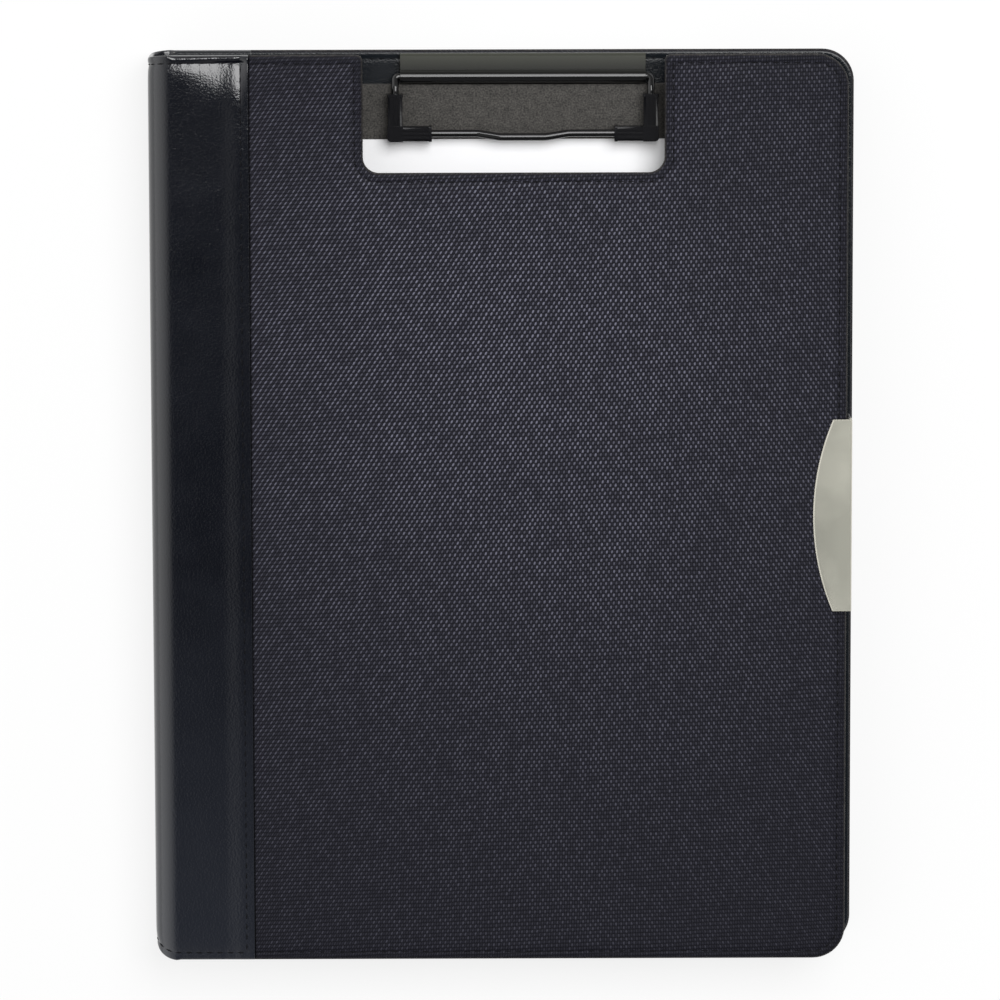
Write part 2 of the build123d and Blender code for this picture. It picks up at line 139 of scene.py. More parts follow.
class Paint:
    """A material, or the room's own light, and the one method that adds a node to it."""

    def __init__(self, name, made=None):
        self.material = made or bpy.data.materials.new(name)
        self.material.use_nodes = True
        self.nodes = self.material.node_tree.nodes
        self.nodes.clear()

    def node(self, kind, settings=None, inputs=None, output=0):
        """Adds a node: its settings first, then the values or links of its sockets."""
        made = self.nodes.new("ShaderNode" + kind)
        for name, value in (settings or {}).items():
            if name == "stops":
                for spot, _ in value[2:]:
                    made.color_ramp.elements.new(spot)
                for element, (spot, shade) in zip(made.color_ramp.elements, value):
                    element.position = spot
                    element.color = (*shade, 1.0)
            else:
                setattr(made, name, value)
        for name, value in (inputs or {}).items():
            if isinstance(value, Wire):
                self.material.node_tree.links.new(value.socket, made.inputs[name])
            elif isinstance(value, tuple) and made.inputs[name].type == "RGBA":
                made.inputs[name].default_value = (*value, 1.0)
            else:
                made.inputs[name].default_value = value
        return Wire(self, made.outputs[output]) if made.outputs else None

    def place(self):
        """Where a point of the piece lies, in metres."""
        return self.node("TexCoord", output="Object")

    def plan(self):
        """Where a point of a sheet lies on the flat cut, in metres."""
        return self.node("UVMap", {"uv_map": "plan"})

    def ray(self, kind):
        """Whether the light that meets the surface is of that kind."""
        return self.node("LightPath", output=kind)

    def noise(self, where, scale, detail=2.0, output="Fac"):
        return self.node(
            "TexNoise",
            inputs={"Vector": where, "Scale": scale, "Detail": detail},
            output=output,
        )

    def shift(self, where, push, length):
        """A place moved by a coloured noise, by up to about that length each way."""
        centred = self.node(
            "VectorMath", {"operation": "SUBTRACT"}, {0: push, 1: (0.5, 0.5, 0.5)}
        )
        return self.node(
            "VectorMath",
            {"operation": "MULTIPLY_ADD"},
            {0: centred, 1: (2 * length, 2 * length, 2 * length), 2: where},
        )

    def parts(self, where):
        """The three numbers of a vector."""
        split = self.node("SeparateXYZ", inputs={0: where})
        outputs = split.socket.node.outputs
        return [Wire(self, outputs[i]) for i in range(3)]

    def mix(self, factor, first, second):
        """A colour between two others."""
        return self.node(
            "Mix", {"data_type": "RGBA"}, {0: factor, 6: first, 7: second}, output=2
        )

    def ramp(self, factor, *stops):
        return self.node("ValToRGB", {"stops": stops}, {0: factor})

    def bump(self, height, distance, strength=1.0):
        return self.node(
            "Bump", inputs={"Height": height, "Distance": distance, "Strength": strength}
        )

    def finish(self, **sockets):
        """Ends the material in a Principled shader, its sockets named with underscores."""
        inputs = {name.replace("_", " "): value for name, value in sockets.items()}
        shader = self.node("BsdfPrincipled", inputs=inputs)
        self.node("OutputMaterial", inputs={"Surface": shader})
        return self.material


floor_size = 8.0
floor_drop = 0.65 * mm
floor_white = (0.82, 0.82, 0.82)
seen_white = 0.80

paint = Paint("floor_white")
seen = paint.ray("Is Camera Ray").at_least(paint.ray("Is Glossy Ray"))
seen = seen.at_least(paint.ray("Is Transmission Ray"))
matt = paint.node("BsdfDiffuse", inputs={"Color": floor_white})
bright = paint.node("Emission", inputs={"Color": (1.0, 1.0, 1.0), "Strength": 1.0})
floor_look = paint.node("MixShader", inputs={0: seen * seen_white, 1: matt, 2: bright})
paint.node("OutputMaterial", inputs={"Surface": floor_look})

floor_mesh = bpy.data.meshes.new("floor")
floor_mesh.from_pydata(
    [
        (floor_size * x, floor_size * y, -floor_drop)
        for x, y in ((-0.5, -0.5), (0.5, -0.5), (0.5, 0.5), (-0.5, 0.5))
    ],
    [],
    [(0, 1, 2, 3)],
)
floor_mesh.materials.append(paint.material)
shown("floor", floor_mesh)

# The room is a white tent, plain white to the camera. It darkens towards a hole over the folder by
# the square root of one minus the direction's height, and whitens towards the spine by a power of
# its lean. One large soft box hangs over the clip end, from left of the middle far to the right.
tent_white = 0.38
left_white = 1.5
left_from = 0.075
left_power = 0.65
main_box_place = (1.2, 1.504, 3.049)
main_box_sides = (2.7, 2.71)
main_box_power = 146.0

world = bpy.data.worlds.new("room")
world.use_nodes = True
room = Paint("room", world)
right, _, height = room.parts(room.node("TexCoord", output="Generated"))
tent = ((1 - height.at_least(0.0)) ** 0.5) * tent_white
tent = tent + ((right * -1.0 - left_from).at_least(0.0) ** left_power) * left_white
plain_white = room.ray("Is Camera Ray")
room_light = room.node(
    "Background", inputs={"Strength": tent + (1 - tent) * plain_white}
)
room.node("OutputWorld", inputs={"Surface": room_light})
bpy.context.scene.world = world

lamp = bpy.data.lights.new("main_box", "AREA")
lamp.shape = "RECTANGLE"
lamp.size, lamp.size_y = main_box_sides
lamp.energy = main_box_power
main_box = shown("main_box", lamp)
main_box.location = main_box_place
to_middle = -Vector((0.0, *main_box_place[1:]))
main_box.rotation_euler = to_middle.to_track_quat("-Z", "Y").to_euler()

# Front cover cloth: one piece of black woven nylon, stretched over a thin foam and turned in
# round the edges and round the clip window, then sewn through 3 mm in from every edge.
cover_top = cad_high.y
cover_length = 2 * cover_top
cover_left = cad_low.x
front_cloth_low, front_cloth_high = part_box("front_nylon_skin")
seam_x = front_cloth_low.x
front_right = front_cloth_high.x
front_face = front_cloth_high.z
front_hem = front_cloth_low.z
window_left = -51.75 * mm
window_right = 60.25 * mm
window_foot = 127.0 * mm
window_corner = 6.0 * mm
window_lip = 2.5 * mm
cover_corner = 12.0 * mm
cloth_thickness = 0.6 * mm
hem_width = 8.0 * mm
stitch_inset = 3.2 * mm
stitch_pitch = 3.9 * mm
rim_depth = 11.5 * mm
rim_round = 2.4 * mm
hem_round = 1.6 * mm
rim_drop = 0.3 * mm
stitch_dip = 0.38 * mm
dip_width = 0.9 * mm
dip_between = 0.75
cloth_step = 1.3 * mm
corner_steps = 13


def border(corners, depths, step=cloth_step, cut=True):
    """Rows of points along an outline, one row for each depth in from its edge.

    Every edge moves in by the depth, and a round corner keeps its middle, so its radius
    shrinks by the depth, or grows by it in a hollow corner. With cut, the stretch from the
    last corner to the first one is a straight cut that doesn't move.
    """
    spots = np.array([corner[:2] for corner in corners])
    radii = np.array([corner[2] for corner in corners])
    ahead = np.roll(spots, -1, 0) - spots
    lengths = np.linalg.norm(ahead, axis=1)
    ahead = ahead / lengths[:, None]
    inward = np.stack([-ahead[:, 1], ahead[:, 0]], 1)
    moves = np.ones(len(corners))
    if cut:
        moves[-1] = 0.0
    before, inward_before = np.roll(ahead, 1, 0), np.roll(inward, 1, 0)
    turn = np.sign(before[:, 0] * ahead[:, 1] - before[:, 1] * ahead[:, 0])
    depth = np.asarray(depths, float)[:, None]
    near, far = depth * np.roll(moves, 1), depth * moves
    across = inward_before[:, 0] * inward[:, 1] - inward_before[:, 1] * inward[:, 0]
    shift_x = (near * inward[:, 1] - far * inward_before[:, 1]) / across
    shift_y = (far * inward_before[:, 0] - near * inward[:, 0]) / across
    tips = spots + np.stack([shift_x, shift_y], -1)
    radius = np.where(radii > 0, np.maximum(radii - turn * depth, 0.0), 0.0)
    facing = (inward_before * inward).sum(1)
    middle = tips + (turn * radius / (1 + facing))[..., None] * (inward_before + inward)
    angle = np.arccos(facing)
    arcs = []
    for i in range(len(corners)):
        part = (np.linspace(0, 1, corner_steps) if radii[i] > 0 else np.array([0.5]))[:, None]
        side = np.sin((1 - part) * angle[i]) * inward_before[i]
        side = side + np.sin(part * angle[i]) * inward[i]
        reach = (turn[i] * radius[:, i])[:, None, None]
        arcs.append(middle[:, i, None, :] - reach * side / np.sin(angle[i]))
    rows = []
    for i in range(len(corners)):
        rows.append(arcs[i])
        if cut and i == len(corners) - 1:
            break
        start, end = arcs[i][:, -1:], arcs[(i + 1) % len(corners)][:, :1]
        part = np.linspace(0, 1, max(int(lengths[i] / step), 2) + 1)[1:-1, None]
        rows.append(start + (end - start) * part)
    return np.concatenate(rows, 1)


def run(points):
    """How far along its path each point lies."""
    steps = np.linalg.norm(np.diff(points, axis=0), axis=1)
    return np.concatenate([[0.0], np.cumsum(steps)])


def quads(rows, columns, closed=False, offset=0):
    """The faces of a grid of points; closed joins its last column to its first."""
    index = offset + np.arange(rows * columns).reshape(rows, columns)
    if closed:
        index = np.concatenate([index, index[:, :1]], 1)
    return np.stack(
        [index[:-1, :-1], index[:-1, 1:], index[1:, 1:], index[1:, :-1]], -1
    ).reshape(-1, 4)


def filled(shape, side=1, closed=False):
    """The faces of a grid and of the flat inside its last row, turned over for a side of -1."""
    rows, columns = shape
    inner = (rows - 1) * columns + np.arange(columns)
    return [face[::side] for face in (*quads(rows, columns, closed).tolist(), inner.tolist())]


def joined(*parts):
    """Points from their coordinates, each one spread to the shape that all of them fit."""
    return np.stack(np.broadcast_arrays(*parts), -1)


def bell(distance, width):
    """The exponential of minus the square of the distance over the width."""
    return np.exp(-((distance / width) ** 2))


def piece(name, points, faces, material, plan=None, rim=None, merge=1e-6, smooth=True):
    """A mesh object from points and faces.

    Plan is each point's place on the flat cut, and rim its distance from the nearest edge.
    """
    mesh = bpy.data.meshes.new(name)
    mesh.from_pydata(np.asarray(points).reshape(-1, 3).tolist(), [], [list(f) for f in faces])
    if rim is not None:
        mesh.attributes.new("rim", "FLOAT", "POINT").data.foreach_set("value", np.ravel(rim))
    if plan is not None:
        corner_points = np.empty(len(mesh.loops), int)
        mesh.loops.foreach_get("vertex_index", corner_points)
        flat = np.asarray(plan).reshape(-1, 2)[corner_points]
        mesh.uv_layers.new(name="plan").data.foreach_set("uv", flat.ravel())
    if merge:
        shape = bmesh.new()
        shape.from_mesh(mesh)
        bmesh.ops.remove_doubles(shape, verts=shape.verts, dist=merge)
        shape.to_mesh(mesh)
        shape.free()
    mesh.shade_smooth() if smooth else mesh.shade_flat()
    mesh.materials.append(material)
    made = shown(name, mesh)
    return made


def walled(made, thickness):
    """Gives a sheet its thickness, on the side away from its face."""
    wall = made.modifiers.new("wall", "SOLIDIFY")
    wall.thickness = thickness
    wall.offset = -1.0
    wall.use_even_offset = False
    return made


def wrap_profile(face, hem, hem_edge, depths):
    """Depth, height and place on the cut of each row of a cloth wrapped round a board.

    From the hem's inner edge the rows run out under the board, round its edge on two quarter
    ellipses, and in over the face. The place on the cut is the length along the rows.
    """
    middle = (face + hem) / 2
    half = (face - hem) / 2
    angle = np.linspace(pi, 0, 15)
    squeeze = np.where(np.cos(angle) < 0, hem_round, rim_round)
    edge_depth = squeeze * (1 - np.sin(angle))
    edge_height = middle + half * np.cos(angle)
    depth = np.concatenate([[hem_edge, (hem_edge + hem_round) / 2], edge_depth, depths])
    height = np.concatenate([[hem, hem], edge_height, np.full(len(depths), face)])
    length = run(np.stack([depth, height], 1))
    face_start = 2 + len(angle)
    cut = length - length[face_start] + depth[face_start]
    return depth, height, cut


def soft_step(value, low, high):
    """Rises smoothly from 0 at low to 1 at high."""
    part = np.clip((value - low) / (high - low), 0, 1)
    return part * part * (3 - 2 * part)


def wrapped_cover(name, corners, face, hem, material, side=1):
    """A cloth cover: the wrap profile carried along the outline, and the flat face inside it.

    The face sinks towards its rim, and dips by a bell curve along the stitch line, deeper at
    each needle hole.
    """
    depths = np.array([2.6, 2.9, 3.2, 3.5, 3.9, 4.5, 5.3, 6.4, 7.8, 9.5, 11.5]) * mm
    depth, height, cut = wrap_profile(face, hem, hem_width, depths)
    plan = border(corners, cut)
    flat = border(corners, depth)
    sewn = run(border(corners, [stitch_inset])[0])
    beat = np.cos(2 * pi * sewn / stitch_pitch)[None, :]
    sink = rim_drop * (1 - soft_step(depth, rim_round, rim_depth))[:, None]
    dip = stitch_dip * bell(depth - stitch_inset, dip_width)[:, None]
    on_face = soft_step(height * side, (face + hem) / 2 * side, face * side)[:, None]
    z = height[:, None] - side * on_face * (sink + dip * (dip_between + (1 - dip_between) * beat))
    rim = np.broadcast_to(depth[:, None], z.shape)
    points, faces = np.dstack([flat, z]), filled(z.shape, side)
    made = piece(name, points, faces, material, plan, rim)
    return walled(made, cloth_thickness)


front_corners = [
    (seam_x, -cover_top, 0),
    (front_right, -cover_top, cover_corner),
    (front_right, cover_top, cover_corner),
    (window_right, cover_top, window_lip),
    (window_right, window_foot, window_corner),
    (window_left, window_foot, window_corner),
    (window_left, cover_top, window_lip),
    (seam_x, cover_top, 0),
]

warp_pitch = 0.962 * mm
weft_pitch = 1.480 * mm
warp_skew = 0.0155
weft_skew = 0.040
yarn_relief = 0.22 * mm
yarn_wander = 0.55 * mm
lean_middle = 0.40
lean_along_x = -6.0
lean_along_y = 1.5
gap_shade = (0.0042, 0.0042, 0.0064)
weft_shade = (0.0170, 0.0170, 0.0245)
# The warp cells' lighter colour is a painted sheen on the raised yarns.
warp_sheen = (0.145, 0.145, 0.196)
# Painted shade on the rolled rim, where the cloth turns away from the light.
rim_shade_from = 1.6 * mm
rim_shade_to = 5.0 * mm
rim_sheen_kept = 0.48
# A painted highlight, a lighter line along the cloth's turned fold.
fold_reach = 0.8 * mm
# A painted shadow on the cloth right beside the leather's edge.
seam_shadow = (0.0006, 0.0006, 0.0009)
seam_shadow_reach = 0.9 * mm
fold_highlight = (0.040, 0.037, 0.034)
# A painted pool of light on the cover's face, centred a little above its middle.
lit_middle = 70 * mm
lit_up = 120 * mm
lit_down = 190 * mm
lit_aside = 150 * mm


def nylon_cloth():
    """Plain weave: warp cells in a chequer, raised, leaning and lighter than the weft ones.

    The lighter warp cells are a painted sheen on the raised yarns. The cells lean less and then the
    other way towards the right. The sheen is painted brightest above the middle of the cover, a
    painted pool of light falling by one over the square root of the cube of one plus the distance
    squared, and painted shade on the rolled rim keeps about half of it.
    """
    paint = Paint("nylon_cloth")
    plan = paint.plan()
    wander = paint.noise(plan, 45.0, 2.0, "Color")
    x, y, _ = paint.parts(paint.shift(plan, wander, yarn_wander))
    row = (y - x * weft_skew) / weft_pitch
    lean = x * lean_along_x + y * lean_along_y + lean_middle
    column = (x - y * warp_skew) / warp_pitch - (row.fraction() - 0.5) * lean
    check = (column * pi).sine() * (row * pi).sine()
    warp = check.at_least(0.0) ** 0.9
    weft = (check * -1.0).at_least(0.0) ** 0.8
    cell = paint.node("CombineXYZ", inputs={0: column.floor(), 1: row.floor()})
    chance = paint.node("TexWhiteNoise", {"noise_dimensions": "2D"}, {"Vector": cell})
    worn = paint.noise(plan, 30.0, 3.0)
    rim = paint.node("Attribute", {"attribute_name": "rim"}, output="Fac")
    # Painted shade: the painted sheen is dimmed near the rolled rim.
    open_face = ((rim - rim_shade_from) / (rim_shade_to - rim_shade_from)).clipped()
    rim_shading = rim_sheen_kept + open_face * (1 - rim_sheen_kept)
    x, y, _ = paint.parts(paint.place())
    # Painted pool of light: the painted sheen falls off away from a spot above the middle.
    up = ((y - lit_middle) / lit_up).at_least(0.0)
    down = ((lit_middle - y) / lit_down).at_least(0.0)
    away = up ** 2 + down ** 2 + (x / lit_aside) ** 2
    shine = warp * (0.5 + chance * 0.75) * (0.75 + worn * 0.5) * rim_shading * (1 + away) ** -1.5
    shade = paint.mix(weft, gap_shade, weft_shade)
    shade = paint.mix(shine.at_most(1.0), shade, warp_sheen)
    # Painted highlight along the fold at the cloth's edge.
    fold = (1 - rim / fold_reach).at_least(0.0)
    shade = paint.mix((fold * (0.4 + chance)).at_most(1.0), shade, fold_highlight)
    # Painted shadow: the cloth darkens right beside the leather's seam.
    beside_seam = ((x - seam_x) / seam_shadow_reach).clipped()
    shade = paint.mix(beside_seam, seam_shadow, shade)
    normal = paint.bump(warp + weft * 0.7, yarn_relief, 0.7)
    return paint.finish(
        Base_Color=shade,
        Roughness=0.6,
        Specular_IOR_Level=0.08,
        Coat_Weight=(shine * beside_seam * 0.6).at_most(1.0),
        Coat_Roughness=0.38,
        Normal=normal,
    )


nylon = nylon_cloth()
front_cloth = wrapped_cover(
    "front_cover_cloth", front_corners, front_face, front_hem, nylon
)
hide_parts("front_nylon_skin", "front_foam")
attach(front_cloth, "front_cover")

# Back cover cloth: the same nylon, stretched over a bare board with no window, its face down.
back_cloth_low, back_cloth_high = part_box("back_nylon_skin")
back_right = back_cloth_high.x
back_face = back_cloth_low.z
back_hem = back_cloth_high.z
back_corners = [
    (seam_x, -cover_top, 0),
    (back_right, -cover_top, cover_corner),
    (back_right, cover_top, cover_corner),
    (seam_x, cover_top, 0),
]
back_cloth = wrapped_cover(
    "back_cover_cloth", back_corners, back_face, back_hem, nylon, side=-1
)
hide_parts("back_nylon_skin")
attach(back_cloth, "back_cover")

# Spine leather: one glossy leatherette strip from the front seam, round both bends of the
# spine, to the back seam. Its ends are turned in as hems, drawn in where they go round the
# spine, and it is sewn over the nylon.
bend_radius = 8.0 * mm
bend_x = cover_left + bend_radius
cover_thickness = front_face - back_face
seam_lift = 0.22 * mm
lip_round = 0.35 * mm
leather_thickness = 0.5 * mm
seam_stitch = 2.75 * mm
end_stitch = 3.0 * mm
pull_down = 0.48 * mm
pull_reach = 1.7 * mm
slump = 1.3 * mm
slump_reach = 14.0 * mm
pucker = 0.20 * mm
pucker_reach = 1.0 * mm
seam_pull = 0.34 * mm
ridge_reach = 0.7 * mm
rim_pucker_reach = 1.6 * mm
foot_ridge_reach = 6.0 * mm
slump_ridge = 1.8 * mm
spine_wall = 2.3 * mm
bend_wall = 1.6 * mm
board_edge = bend_x + 1.0 * mm
drawn_foot = 4.6 * mm
drawn_top = 0.9 * mm
drawn_from = bend_x + 1.5 * mm
uneven_stitches = 120
seam_pull_from = cover_length - 26.0 * mm
seam_pull_full = cover_length - 4.0 * mm
slump_from = seam_x - 27.0 * mm
slump_full = seam_x - 5.0 * mm
slump_held = 0.8
lip_end = 0.4 * mm
seam_pucker = 0.1
seam_pucker_at_end = 0.5
seam_flat_from = 3.5 * mm
seam_flat_to = 11.0 * mm
spine_wall_from = cover_left + 0.8 * mm
hem_fade = 0.8 * mm
band_row = 1.0 * mm
foot_fold = 0.4
foot_reflection_from = 20.0 * mm


def band_path(side):
    """The leather's line across the spine, from the seam to the middle of the spine.

    A small lip at the seam, a flat that sinks to the cover's face, a quarter circle and half
    of the spine's flat. Side mirrors it to the back cover. Gives the points, the direction
    away from the board at each, and the length along the line.
    """
    lip = np.linspace(0, pi / 2, 5)
    lip_x = seam_x - lip_round * (1 - np.cos(lip))
    lip_z = seam_lift - lip_round * (1 - np.sin(lip))
    near = np.concatenate([np.arange(0.6, 6.0, 0.4), np.arange(6.0, 29.0, 1.0)]) * mm
    flat_x = seam_x - near
    flat_z = seam_lift * (1 - soft_step(near, seam_flat_from, seam_flat_to))
    turn = np.linspace(0, pi / 2, 15)
    turn_x = bend_x - bend_radius * np.sin(turn)
    turn_z = bend_radius * (np.cos(turn) - 1)
    half = cover_thickness / 2
    flat_end = (half - bend_radius) * np.array([0.2, 0.4, 0.6, 0.8, 0.99, 1.0])
    x = np.concatenate([[seam_x], lip_x, flat_x, turn_x, np.full(6, cover_left)])
    z = np.concatenate([[-lip_round], lip_z, flat_z, turn_z, -bend_radius - flat_end])
    angle = np.clip(np.arcsin(np.clip((bend_x - x) / bend_radius, 0, 1)), 0, pi / 2)
    outward = joined(-np.sin(angle), side * np.cos(angle))
    middle = back_face + half
    path = np.stack([x, middle + side * (half + z)], 1)
    return path, outward, run(path)


def leather_end(wall, end_round):
    """Distance from the leather's end and depth under its face, of each row round the hem."""
    angle = np.linspace(pi, 0, 9)[None, :]
    out = end_round[:, None] * (1 - np.sin(angle))
    under = wall[:, None] / 2 * (1 - np.cos(angle))
    hem = np.broadcast_to([hem_width, hem_width / 2], (len(wall), 2))
    full = np.broadcast_to(wall[:, None], hem.shape)
    return np.hstack([hem, out]), np.hstack([full, under])


def drawn(path, y):
    """Rows of the leather from end to end, moved in where they go round the spine.

    The pull at an end is one minus the cosine of the way round, and fades by a square towards
    the other end.
    """
    way = np.clip((run(path) - np.interp(drawn_from, path[::-1, 0], run(path)[::-1])), 0, None)
    pull = 1 - np.cos(np.clip(way / (bend_radius * pi / 2), 0, 1) * pi / 2)[:, None]
    part = y / cover_length
    return y - cover_top + pull * (drawn_foot * (1 - part) ** 2 - drawn_top * part**2)


def leather_band(name, side, hem, material):
    """The band path carried from end to end, with a rolled hem at each end.

    Beside each line of stitches the face sinks by an exponential of the distance to it, and a
    second one puckers it, most about each needle hole and unevenly from one to the next. Beside
    the seam's clip end it also slumps, by the square of what is left of the slump's reach.
    """
    path, outward, across = band_path(side)
    on_cover = soft_step(path[:, 0], bend_x, board_edge)
    on_spine = soft_step(-path[:, 0], -spine_wall_from, -cover_left)
    cover_wall = side * (path[:, 1] - hem)
    wall = bend_wall + (cover_wall - bend_wall) * on_cover + (spine_wall - bend_wall) * on_spine
    end_round = np.minimum(wall / 2, hem_round)
    hem_out, hem_under = leather_end(wall, end_round)
    fine = np.array([1.9, 2.2, 2.6, 3.0, 3.4, 3.8, 4.4, 5.1, 6.0, 7.0, 8.0]) * mm
    middle = np.arange(fine[-1] + band_row, cover_length - fine[-1] - band_row / 2, band_row)
    face = np.concatenate([fine, middle, (cover_length - fine)[::-1]])
    face = np.broadcast_to(face, (len(path), len(face)))
    y = np.hstack([hem_out, face, cover_length - hem_out[:, ::-1]])
    under = np.hstack([hem_under, np.zeros(face.shape), hem_under[:, ::-1]])
    from_end = np.minimum(y, cover_length - y)
    on_face = 1 - soft_step(under, 0, hem_fade)

    dice = np.random.default_rng(3)
    uneven = dice.uniform(0.35, 1.0, uneven_stitches)

    def sewn(distance, along, pull, fold, ridge, rim):
        """How far the face is pulled down at a distance from a line of stitches.

        Ridge and rim are the reaches of both on the line's outer side.
        """
        beat = np.cos(2 * pi * along / stitch_pitch) * np.interp(
            along / stitch_pitch, np.arange(uneven_stitches), uneven
        )
        near = np.where(distance > 0, pull_reach, ridge)
        crease = np.where(distance > 0, pucker_reach, rim)
        far = np.abs(distance)
        return pull * np.exp(-far / near) + fold * np.exp(-far / crease) * (0.5 + 0.5 * beat)

    sewn_seam = seam_stitch + 2 * lip_round
    foot = y < cover_top
    ridge = np.where(foot, foot_ridge_reach, ridge_reach)
    rim = np.where(foot, foot_ridge_reach, rim_pucker_reach)
    fold = np.where(foot, foot_fold, 1.0) * pucker
    sink = sewn(from_end - end_stitch, across[:, None], pull_down, fold, ridge, rim)
    by_end = soft_step(y, seam_pull_from, seam_pull_full)
    beside = across[:, None] - sewn_seam
    seam_fold = pucker * (seam_pucker + seam_pucker_at_end * by_end)
    sink += sewn(beside, y, seam_pull * by_end, seam_fold, ridge_reach, ridge_reach)
    by_seam = soft_step(path[:, :1], slump_from, slump_full)
    by_lip = soft_step(across[:, None], lip_end, sewn_seam)
    inside = cover_length - y - end_stitch
    left = 1 - np.clip(inside / slump_reach, 0, 1)
    held_up = slump_held * soft_step(-inside, 0, slump_ridge)
    sink += slump * left**2 * by_seam * by_lip * (1 - held_up)
    depth = under + sink * on_face
    base = path[:, None, :] - outward[:, None, :] * depth[..., None]
    points = joined(base[..., 0], drawn(path, y), base[..., 1])
    flat_cut = joined(across[:, None], y + under)
    faces = quads(*y.shape)[:, ::side].tolist()
    made = piece(name, points, faces, material, flat_cut)
    up = joined(outward[:, 0], 0.0, outward[:, 1])
    row = np.argmin(np.abs(across - sewn_seam))
    on_row = (from_end[row] > end_stitch) & (under[row] == 0)
    sewn_lines = [(points[row][on_row], np.repeat(up[row : row + 1], on_row.sum(), 0))]
    for end in (end_stitch, cover_length - end_stitch):
        column = np.argmin(np.abs(y[row] - end))
        past = across > sewn_seam
        sewn_lines.append((points[past, column], up[past]))
    return walled(made, leather_thickness), sewn_lines


def leatherette(name, shade, roughness, gloss, foot_reflection=(0, 0, 0)):
    """Coated cloth: near black, with a fine pebble grain and a slightly uneven gloss.

    A painted reflection is added to its colour towards the folder's foot.
    """
    paint = Paint(name)
    place = paint.place()
    pebble = paint.node(
        "TexVoronoi",
        {"feature": "SMOOTH_F1"},
        {"Vector": place, "Scale": 1300.0, "Smoothness": 0.6},
        "Distance",
    )
    creases = paint.noise(place, 1700.0, 1.0)
    cloudy = paint.noise(place, 60.0, 3.0)
    dark = tuple(0.75 * part for part in shade)
    light = tuple(1.3 * part for part in shade)
    normal = paint.bump(pebble + creases + cloudy * 0.6, 0.06 * mm, 0.5)
    _, y, _ = paint.parts(place)
    # Painted reflection: the colour lightens and turns bluer towards the folder's foot.
    down = ((y + foot_reflection_from) / (foot_reflection_from - cover_top)).clipped()
    foot_lit_shade = tuple(part + more for part, more in zip(light, foot_reflection))
    return paint.finish(
        Base_Color=paint.mix(down, paint.mix(cloudy, dark, light), foot_lit_shade),
        Roughness=roughness + cloudy * 0.08,
        Specular_IOR_Level=gloss,
        Normal=normal,
    )


# The colour of the painted reflection towards the foot.
leather_foot_reflection = (0.0110, 0.0120, 0.0145)
leather_shade = (0.0014, 0.0022, 0.0052)
leather = leatherette("black_leatherette", leather_shade, 0.12, 0.78, leather_foot_reflection)
front_leather, front_sewn = leather_band("spine_leather_front", 1, front_hem, leather)
back_leather, back_sewn = leather_band("spine_leather_back", -1, back_hem, leather)


def bent(made):
    """Bakes a piece's placement into its mesh, for a piece that runs from a cover round the spine.
    """
    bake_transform(made)


for band, side, nodes in (
    (front_leather, 1, ("front_leather_band", "spine_leather")),
    (back_leather, -1, ("back_leather_band",)),
):
    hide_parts(*nodes)
    bent(band)

# Linings: thin dark leatherette inside each cover, laid over the turned-in hems and sewn down
# by the same stitches that show outside. The spine side runs under the spine's own lining.
lining_margin = 1.5 * mm
back_lining_margin = 0.8 * mm
lining_wall = 0.45 * mm
wall_share = 0.9
lining_dip = 0.08 * mm
lining_crest = 0.08 * mm
crest_inset = 0.9 * mm
lining_dip_width = 0.7 * mm
crest_width = 0.55 * mm
lining_dip_even = 0.7
crest_even = 0.55
lining_shade = (0.0042, 0.0060, 0.0085)
lining_look = leatherette("lining_leatherette", lining_shade, 0.16, 0.42)


def lined(name, corners, face, side, stitch, wall, cut=True, crest=0):
    """A flat sheet sewn down near its edge: a cut edge, a dip at the stitches and a flat face.

    Between its stitches and its edge the sheet puffs up by the crest, less at a needle hole.
    """
    inward = np.array([0.05, 0.2, 0.45, 0.75, 1.05, 1.35, 1.65, 1.95, 2.3, 2.7, 3.1, 3.6, 4.6, 6.0])
    depth = np.concatenate([[0.0, 0.0], inward * mm])
    drop = np.concatenate([[0.92, 0.55, 0.18], np.zeros(len(inward) - 1)])[:, None] * wall
    flat = border(corners, depth, cut=cut)
    sewn = run(border(corners, [stitch], cut=cut)[0])
    beat = np.cos(2 * pi * sewn / stitch_pitch)[None, :]
    pull = lining_dip * bell(depth - stitch, lining_dip_width)[:, None]
    pull = pull * (lining_dip_even + (1 - lining_dip_even) * beat)
    puff = crest * bell(depth - crest_inset, crest_width)[:, None]
    puff = puff * (crest_even - (1 - crest_even) * beat)
    z = face - side * (drop + pull - puff)
    points, faces = np.dstack([flat, z]), filled(z.shape, side, closed=not cut)
    made = piece(name, points, faces, lining_look, flat)
    return walled(made, wall * wall_share)


def inset(corners, margin, cut_x):
    """An outline's corners moved in by a margin, with its cut side moved to cut_x."""
    tips = border([(x, y, 0) for x, y, _ in corners], [margin])[0]
    keep = border([(x, y, 0) for x, y, _ in corners], [0.0])[0]
    moved = []
    for x, y, radius in corners:
        nearest = np.argmin(np.linalg.norm(keep - (x, y), axis=1))
        new_x, new_y = tips[nearest]
        hollow = (x, y) in ((window_right, window_foot), (window_left, window_foot))
        new_radius = radius + margin if hollow else max(radius - margin, 0.0)
        moved.append((cut_x if x == seam_x else new_x, new_y, new_radius))
    return moved


def cover_lining(cover, corners, margin, side, crest=0):
    """The lining of one cover, on its inner side, and the height of its open face."""
    low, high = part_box(f"{cover}_lining")
    outline = inset(corners, margin, low.x)
    face = high.z if side > 0 else low.z
    sewn_in = stitch_inset - margin
    made = lined(f"{cover}_cover_lining", outline, face, side, sewn_in, lining_wall, crest=crest)
    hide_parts(f"{cover}_lining")
    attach(made, f"{cover}_cover")
    return face


